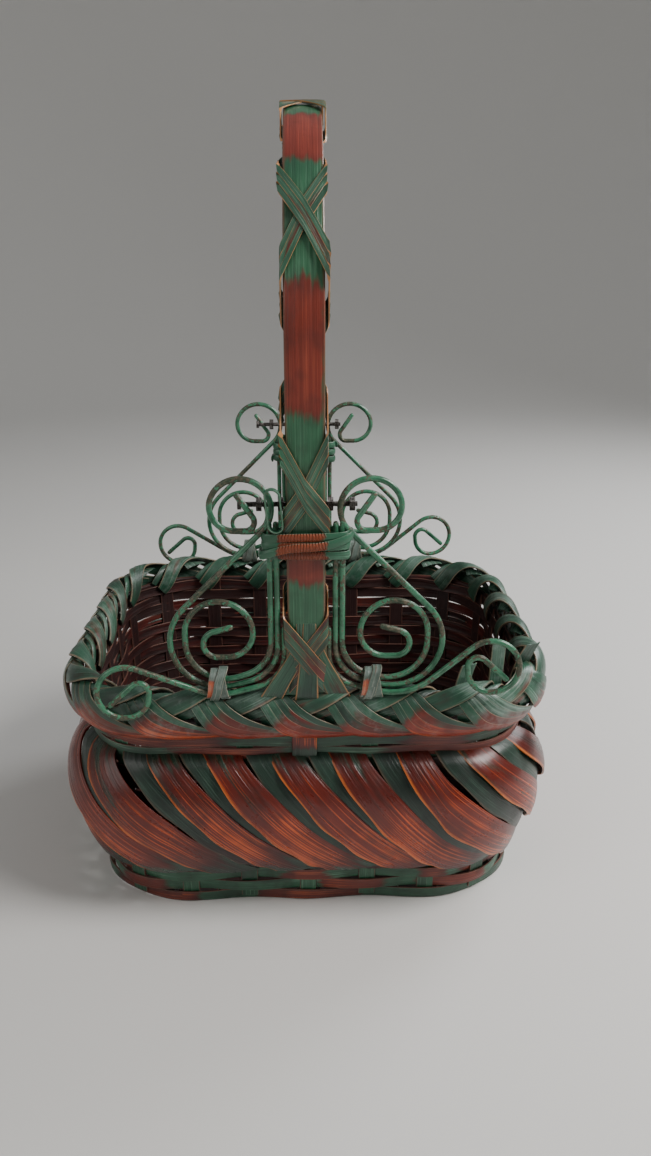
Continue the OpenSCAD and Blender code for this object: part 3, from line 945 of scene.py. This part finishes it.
def handle_wrap(name, node, way, out):
    """Three flat strands wound side by side, past both feet of the bow and in behind the border."""
    bm = new_splints()
    margin = -20 * mm
    strand_half = 1.8
    slant = 1.5
    deep = (bow_t + liner_t) / 2
    for number, shift in enumerate((-3.4, 0, 3.4)):
        extra = luck.uniform(0, 0.3) * mm

        def place(part, side, shift=shift, extra=extra):
            length = margin + part * (bow_length - 2 * margin)
            spot, outward = bow(length + way * (shift + side * strand_half) * mm * slant)
            below = max(-length, length - bow_length, 0)
            spot -= outward * 0.35 * below
            spot -= outward * liner_t / 2
            lift = 0.9 * mm + out + extra
            x, depth = wound(-way * wrap_angle(length), bow_w / 2 + lift, deep + lift)
            return spot + Vector((x, 0, 0)) + outward * depth

        def stain(part, side, number=number):
            length = part * bow_length
            near = min(abs(length - crossing) for crossing in crossings)
            foot = 1 - smooth(30 * mm, 60 * mm, min(length, bow_length - length))
            return 0.24 + 0.25 * (1 - smooth(4 * mm, 26 * mm, near)) * (number == 1) + 0.25 * foot

        lay_splint(bm, place, 420, 1, strand_half * mm, stain=stain)
    splint_piece(bm, name, wrap_bamboo, [node], 0.7 * mm, 0, 0.15 * mm)


handle_strips()
handle_tongues()
foot_splints()
handle_wrap("wrap_to_left", "handle_wrap_left", -1, 0)
handle_wrap("wrap_to_right", "handle_wrap_right", 1, 0.8 * mm)


# ---------------------------------------------------------------- scrolls
# Three wires at each side of each leg, bent by hand into an S, a spiral and a small curl.
# They are enamelled green, and the enamel has worn through to brown iron in places.

wire_r = 1.5 * mm
wire_top = 227
outer_top = 172
wire_gap = 3.3
wire_x = bow_w / 2 / mm + 1.7
outer_lean = math.radians(6)
# For each group: to the right or left, back or front, and the climb and reach of its curl.
scroll_corners = {"front_left": (-1, -1, 24, 34), "front_right": (1, -1, 42, 28),
                  "back_left": (-1, 1, 30, 32), "back_right": (1, 1, 38, 29)}


def enamelled_wire():
    finish = Finish("enamelled_wire")
    place = finish.put("ShaderNodeTexCoord", output=3)
    drift = finish.noise(place, 70, 2)
    flakes = finish.noise(place, 520, 4, 0.62)
    green = finish.mix(tint(34, 84, 58), tint(86, 158, 120), (drift * 0.8 + flakes * 0.4).step(0.45, 0.8))
    worn = (flakes + (drift - 0.5) * 1.3).step(0.5, 0.58)
    bare = finish.mix(tint(44, 28, 22), tint(112, 84, 72), flakes.step(0.45, 0.7))
    colour = finish.mix(green, bare, worn * 0.85)
    finish.set(Base_Color=colour, Roughness=0.3 + worn * 0.25, Metallic=worn * 0.35,
               Coat_Weight=0.3, Coat_Roughness=0.15)
    finish.set(Normal=finish.bump(flakes * -0.5 - worn * 0.5, 0.2 * mm))
    return finish.material


def bent_wire(start, moves):
    """Stations x, z and heading along a wire of straight runs and arcs, in millimetres."""
    x, z, heading = start[0], start[1], -90
    stations = [(x, z, heading)]
    for move in moves:
        if move[0] == "go":
            steps = max(1, round(move[1] / 6))
            for _ in range(steps):
                x += move[1] / steps * math.cos(math.radians(heading))
                z += move[1] / steps * math.sin(math.radians(heading))
                stations.append((x, z, heading))
            continue
        way = 1 if move[0] == "left" else -1
        steps = math.ceil(move[2] / 7.5)
        centre_x = x - way * move[1] * math.sin(math.radians(heading))
        centre_z = z + way * move[1] * math.cos(math.radians(heading))
        for _ in range(steps):
            heading += way * move[2] / steps
            x = centre_x + way * move[1] * math.sin(math.radians(heading))
            z = centre_z - way * move[1] * math.cos(math.radians(heading))
            stations.append((x, z, heading))
    return stations


def draw_wire(stations, move_out):
    """Draws a round wire through its stations, with domed ends."""
    bm = bmesh.new()
    spoke = bm.verts.layers.float.new("spoke")
    circle = bmesh.ops.create_circle(bm, segments=10, radius=1)["verts"]
    for vert in circle:
        vert[spoke] = math.atan2(vert.co.y, vert.co.x)
    ends = [(-1.3, 0.35), (-1.0, 0.75), (0, 1)]
    rings = [(stations[0], back, scale) for back, scale in ends]
    rings += [(station, 0, 1) for station in stations[1:-1]]
    rings += [(stations[-1], -back, scale) for back, scale in reversed(ends)]
    edges = bm.edges[:]
    ring = circle
    for number, ((x, z, heading), slide, scale) in enumerate(rings):
        if number:
            grown = bmesh.ops.extrude_edge_only(bm, edges=edges)["geom"]
            ring = [part for part in grown if isinstance(part, bmesh.types.BMVert)]
            edges = [part for part in grown if isinstance(part, bmesh.types.BMEdge) and part.is_boundary]
        turn = math.radians(heading)
        centre = Vector((x + slide * math.cos(turn), 0, z + slide * math.sin(turn))) * mm
        for vert in ring:
            side = Vector((-math.sin(turn), 0, math.cos(turn))) * math.cos(vert[spoke])
            vert.co = move_out(centre + (side + Vector((0, 1, 0)) * math.sin(vert[spoke])) * wire_r * scale)
        if number in (0, len(rings) - 1):
            bmesh.ops.edgeloop_fill(bm, edges=edges)
    bmesh.ops.recalc_face_normals(bm, faces=bm.faces)
    for face in bm.faces:
        face.smooth = True
    return bm


def scrolls():
    """Bends each wire from its top end down: go a length, or turn on a radius by degrees."""
    enamel = enamelled_wire()
    main = [("go", 64), ("left", 20, 75), ("go", 8), ("left", 25, 150), ("go", 57),
            ("right", 15, 200), ("right", 12, 115), ("go", 5), ("right", 4.5, 125), ("go", 13)]
    inner = [("go", 61.5), ("left", 19, 72), ("go", 4), ("left", 20, 108), ("go", 5),
             ("left", 17, 180), ("left", 13, 90), ("go", 5), ("left", 7, 165), ("go", 9)]
    for corner, (way_x, way_y, climb, reach) in scroll_corners.items():
        outer = [("go", 14), ("left", 17, 78), ("go", 12), ("left", 30, 12 + climb), ("go", reach),
                 ("right", 14, 180 + climb), ("right", 11.5, 85), ("go", 3), ("right", 5, 137), ("go", 15)]
        shapes = {"main": ((wire_x + wire_gap, wire_top), main, 0),
                  "inner": ((wire_x + 2 * wire_gap, wire_top), inner, 0),
                  "outer": ((wire_x, outer_top), outer, outer_lean)}
        for shape, (start, moves, lean) in shapes.items():
            def move_out(spot, lean=lean, way_x=way_x, way_y=way_y):
                past = spot.x - wire_x * mm
                x = wire_x * mm + past * math.cos(lean) + spot.y * math.sin(lean)
                y = leg_y + past * math.sin(lean) - spot.y * math.cos(lean)
                return Vector((way_x * x, way_y * y, spot.z))

            name = corner + "_" + shape
            bm = draw_wire(bent_wire(start, moves), move_out)
            add_piece(bm, name + "_wire", enamel, [name + "_scroll"])


scrolls()


# ---------------------------------------------------------------- ties and bands
# Three turns of thin splint tie each group of wires to the rim. Three turns of ribbed cane
# bind the straight tops of the wires to each handle leg, with a slanting one over them,
# and the end of the front one stands up in a loop.

tie_bamboo = stained_bamboo(
    "tie_bamboo",
    [tint(60, 74, 66), tint(96, 116, 104), tint(148, 152, 142)],
    [tint(120, 44, 20), tint(206, 88, 36), tint(232, 128, 66)],
    tint(156, 144, 126), grime_and_shade=0.35, gloss=0.4, chalk=0.4)
band_cane = stained_bamboo(
    "band_cane",
    [tint(30, 66, 48), tint(54, 106, 79), tint(84, 130, 104)],
    [tint(104, 44, 28), tint(172, 86, 50), tint(210, 122, 76)],
    tint(90, 118, 98), grime_and_shade=0.35, gloss=0.36, ribs=2.0)


def rounded(value, power):
    """The value raised to a power, with its sign kept."""
    return math.copysign(abs(value) ** power, value)


def ring_round(centre, half_a, half_b, power):
    """Place round a squarish loop: a runs one way and b the other."""
    def at(turns):
        angle = turns * 2 * math.pi
        return (centre[0] + half_a * rounded(math.cos(angle), power),
                centre[1] + half_b * rounded(math.sin(angle), power))
    return at


def tie(corner):
    low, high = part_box(corner + "_tie")
    way_y = scroll_corners[corner][1]
    inset = 0.6 * mm
    half_w = 2.3
    foot = low.z + 6 * mm
    centre = ((abs(low.y) + abs(high.y)) / 2, (foot + high.z) / 2)
    bm = new_splints()
    for number, (shift, skew, grow) in enumerate(((-2.6, 1.2, 0), (2.2, -1.5, 0), (0.2, 2.6, 0.9))):
        at = ring_round(centre, (high.y - low.y) / 2 - inset + grow * mm,
                        (high.z - foot) / 2 - inset + grow * mm, 0.75)

        def place(part, side, at=at, shift=shift, skew=skew):
            y, z = at(part)
            x = (low.x + high.x) / 2 + (shift + skew * math.sin(part * 2 * math.pi) + side * half_w) * mm
            return Vector((x, way_y * y, z))

        def stain(part, side, number=number):
            front = 1 - smooth(0.04, 0.13, abs((part + 0.5) % 1 - 0.5 + 0.03))
            return 0.1 + 0.85 * front * (number == 0)

        lay_splint(bm, place, 44, 2, half_w * mm, stain=stain)
    splint_piece(bm, corner + "_binding", tie_bamboo, [corner + "_tie"], 0.9 * mm)


def band(name, node):
    low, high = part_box(node)
    way_y = 1 if low.y > 0 else -1
    middle_y = (abs(low.y) + abs(high.y)) / 2
    turn_h = (high.z - low.z) / 3
    inset = 0.9 * mm
    puffed = 0.7 * mm
    bm = new_splints()

    def turn_of_cane(base, slant, grow, portion=(0, 1)):
        """Cane round the leg, or round the portion of a turn that is given."""
        at = ring_round((0, middle_y), (high.x - low.x) / 2 - inset + grow,
                        (high.y - low.y) / 2 - inset + grow, 0.5)

        def place(part, side):
            turns = portion[0] + part * (portion[1] - portion[0])
            x, y = at(turns)
            puff = puffed * (1 - side * side)
            outward = Vector((x, y - middle_y, 0)).normalized() * puff
            z = base + slant * math.cos(turns * 2 * math.pi) + side * turn_h * 0.46
            return Vector((x + outward.x, way_y * (y + outward.y), z))

        def stain(part, side):
            turns = portion[0] + part * (portion[1] - portion[0])
            return 0.1 + 0.65 * (1 - smooth(0.03, 0.07, abs(turns - 0.265)))

        lay_splint(bm, place, 90, 3, turn_h / 2, stain=stain)

    for number in range(3):
        turn_of_cane(low.z + (number + 0.5) * turn_h, (number - 1) * 0.6 * mm, 0)
    turn_of_cane((low.z + high.z) / 2, 5 * mm, 1.5 * mm, (-0.02, 0.52))
    splint_piece(bm, name, band_cane, [node], 1.3 * mm, 0, 0.4 * mm, 2)


def band_loop():
    low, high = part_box("band_loop")
    inset = 0.5 * mm
    half_w = 1.9 * mm
    radius = (high.x - low.x) / 2 - inset
    straight = high.z - low.z - 2 * radius - 2 * inset
    points = []
    for k in range(9):
        angle = math.radians(180 + 180 * k / 8)
        points.append(Vector((radius * math.cos(angle), 0, radius * math.sin(angle))))
    points += [Vector((radius, 0, straight * k / 3)) for k in (1, 2)]
    for k in range(9):
        angle = math.radians(180 * k / 8)
        points.append(Vector((radius * math.cos(angle), 0, straight + radius * math.sin(angle))))
    points += [Vector((-radius, 0, straight * k / 3)) for k in (2, 1, 0)]
    base = Vector(((low.x + high.x) / 2, (low.y + high.y) / 2, low.z + radius + inset))
    bm = new_splints()

    def place(part, side):
        spot = follow(points, part)
        return base + spot + Vector((-0.1 * spot.z, side * half_w, 0))

    lay_splint(bm, place, 80, 2, half_w, stain=0.15)
    splint_piece(bm, "band_end_loop", band_cane, ["band_loop"], 0.8 * mm)


for corner in scroll_corners:
    tie(corner)
band("front_binding", "front_band")
band("back_binding", "back_band")
band_loop()


# ---------------------------------------------------------------- bolts
# A threaded rod through each leg, with a nut on both sides of every curl,
# holds the scrolls. The steel has gone dull and dark.

def dull_steel():
    finish = Finish("dull_steel")
    place = finish.put("ShaderNodeTexCoord", output=3)
    across = finish.put("ShaderNodeSeparateXYZ", {}, {"Vector": place})
    thread = across.waves(0.7 * mm)
    spots = finish.noise(place, 600, 3)
    colour = finish.mix(tint(58, 52, 50), tint(128, 124, 120), spots.step(0.35, 0.7))
    finish.set(Base_Color=colour, Roughness=0.35 + spots * 0.3, Metallic=0.85)
    finish.set(Normal=finish.bump(thread * 0.5 + spots * 0.2, 0.35 * mm))
    return finish.material


steel = dull_steel()
for node in ("front_bolt", "back_bolt", "front_nuts", "back_nuts"):
    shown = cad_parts[node]
    for holder in shown.material_slots:
        holder.material = steel
